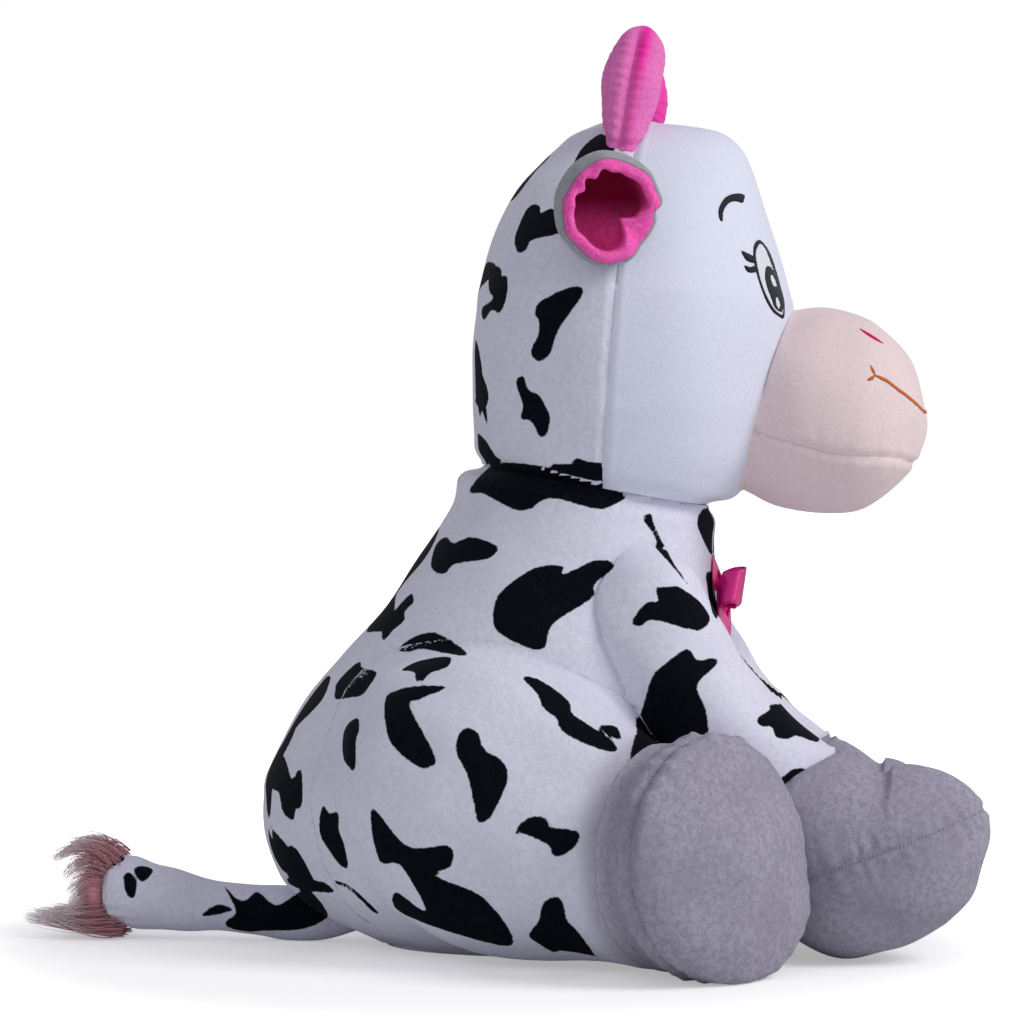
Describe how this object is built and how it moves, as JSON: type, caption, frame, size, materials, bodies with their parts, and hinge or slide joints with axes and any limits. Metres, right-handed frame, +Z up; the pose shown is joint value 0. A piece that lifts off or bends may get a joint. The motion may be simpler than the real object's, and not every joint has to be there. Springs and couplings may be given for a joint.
{
  "type": "plush cow",
  "caption": "Seated plush cow with a spotted cover, pale face, peach muzzle, pink horns, lined ears, grey hooves, a ribbon bow and a tufted tail.",
  "frame": {"origin": "middle of the base, on the surface the cow sits on", "axes": "+Z up; the cow looks along -Y; its right side is at -X"},
  "size_m": [0.416, 0.623, 0.589],
  "materials": {
    "spotted_plush": "short pile plush, matte, white with printed black spots",
    "face_plush": "short pile plush, matte, bluish white",
    "muzzle_plush": "short pile plush, matte, pale peach",
    "horn_plush": "short pile plush, matte, hot pink",
    "ear_grey_plush": "short pile plush, matte, grey",
    "ear_lining_plush": "short pile plush, matte, hot pink",
    "hoof_plush": "short pile plush, matte, grey",
    "ribbon_satin": "woven satin ribbon, shiny, magenta",
    "tuft_fibre": "long loose fibre, dusty pink with white ends",
    "filling_fibre": "loose polyester fibre, white"
  },
  "bodies": {
    "torso": {"torso_cover": "spotted_plush", "seat_panel": "spotted_plush", "torso_filling": "filling_fibre", "bow_knot": "ribbon_satin", "bow_loop_right": "ribbon_satin", "bow_loop_left": "ribbon_satin", "bow_tail_right": "ribbon_satin", "bow_tail_left": "ribbon_satin"},
    "head": {"head_back_cover": "spotted_plush", "face_cover": "face_plush", "head_filling": "filling_fibre", "muzzle_upper_cover": "muzzle_plush", "muzzle_lower_cover": "muzzle_plush", "muzzle_filling": "filling_fibre", "horn_back_cover_right": "horn_plush", "horn_front_cover_right": "horn_plush", "horn_filling_right": "filling_fibre", "horn_back_cover_left": "horn_plush", "horn_front_cover_left": "horn_plush", "horn_filling_left": "filling_fibre"},
    "tail": {"tail_cover": "spotted_plush", "tail_filling": "filling_fibre", "tail_tuft": "tuft_fibre"},
    "ear_right": {"ear_outer_right": "ear_grey_plush", "ear_lining_right": "ear_lining_plush"},
    "arm_right": {"arm_cover_right": "spotted_plush", "arm_hoof_top_right": "hoof_plush", "arm_hoof_bottom_right": "hoof_plush", "arm_filling_right": "filling_fibre"},
    "leg_right": {"leg_cover_right": "spotted_plush", "leg_hoof_side_right": "hoof_plush", "leg_sole_right": "hoof_plush", "leg_filling_right": "filling_fibre"},
    "ear_left": {"ear_outer_left": "ear_grey_plush", "ear_lining_left": "ear_lining_plush"},
    "arm_left": {"arm_cover_left": "spotted_plush", "arm_hoof_top_left": "hoof_plush", "arm_hoof_bottom_left": "hoof_plush", "arm_filling_left": "filling_fibre"},
    "leg_left": {"leg_cover_left": "spotted_plush", "leg_hoof_side_left": "hoof_plush", "leg_sole_left": "hoof_plush", "leg_filling_left": "filling_fibre"}
  },
  "joints": [
    {"name": "head_turn", "type": "hinge", "parent": "torso", "child": "head", "pos_m": [0, -0.07087, 0.29784], "axis": [0, -0.1805, 0.9836], "range_deg": [-20, 20], "stiffness_Nm_per_rad": 0.6},
    {"name": "tail_swing", "type": "hinge", "parent": "torso", "child": "tail", "pos_m": [0, 0.1364, 0.018], "axis": [0, 0, 1], "range_deg": [-20, 20], "stiffness_Nm_per_rad": 0.1},
    {"name": "ear_flap_right", "type": "hinge", "parent": "head", "child": "ear_right", "pos_m": [-0.08918, -0.0796, 0.47583], "axis": [0, 0, 1], "range_deg": [-12, 12], "stiffness_Nm_per_rad": 0.05},
    {"name": "arm_lift_right", "type": "hinge", "parent": "torso", "child": "arm_right", "pos_m": [-0.07504, -0.09485, 0.25806], "axis": [-1, 0, 0], "range_deg": [0, 16], "stiffness_Nm_per_rad": 0.5},
    {"name": "leg_splay_right", "type": "hinge", "parent": "torso", "child": "leg_right", "pos_m": [-0.07906, 0.08093, 0.1], "axis": [0, 0, -1], "range_deg": [0, 12], "stiffness_Nm_per_rad": 0.8},
    {"name": "ear_flap_left", "type": "hinge", "parent": "head", "child": "ear_left", "pos_m": [0.08929, -0.0796, 0.47583], "axis": [0, 0, 1], "range_deg": [-12, 12], "stiffness_Nm_per_rad": 0.05},
    {"name": "arm_lift_left", "type": "hinge", "parent": "torso", "child": "arm_left", "pos_m": [0.07504, -0.09485, 0.25806], "axis": [-1, 0, 0], "range_deg": [0, 16], "stiffness_Nm_per_rad": 0.5},
    {"name": "leg_splay_left", "type": "hinge", "parent": "torso", "child": "leg_left", "pos_m": [0.07906, 0.08093, 0.1], "axis": [0, 0, 1], "range_deg": [0, 12], "stiffness_Nm_per_rad": 0.8}
  ]
}
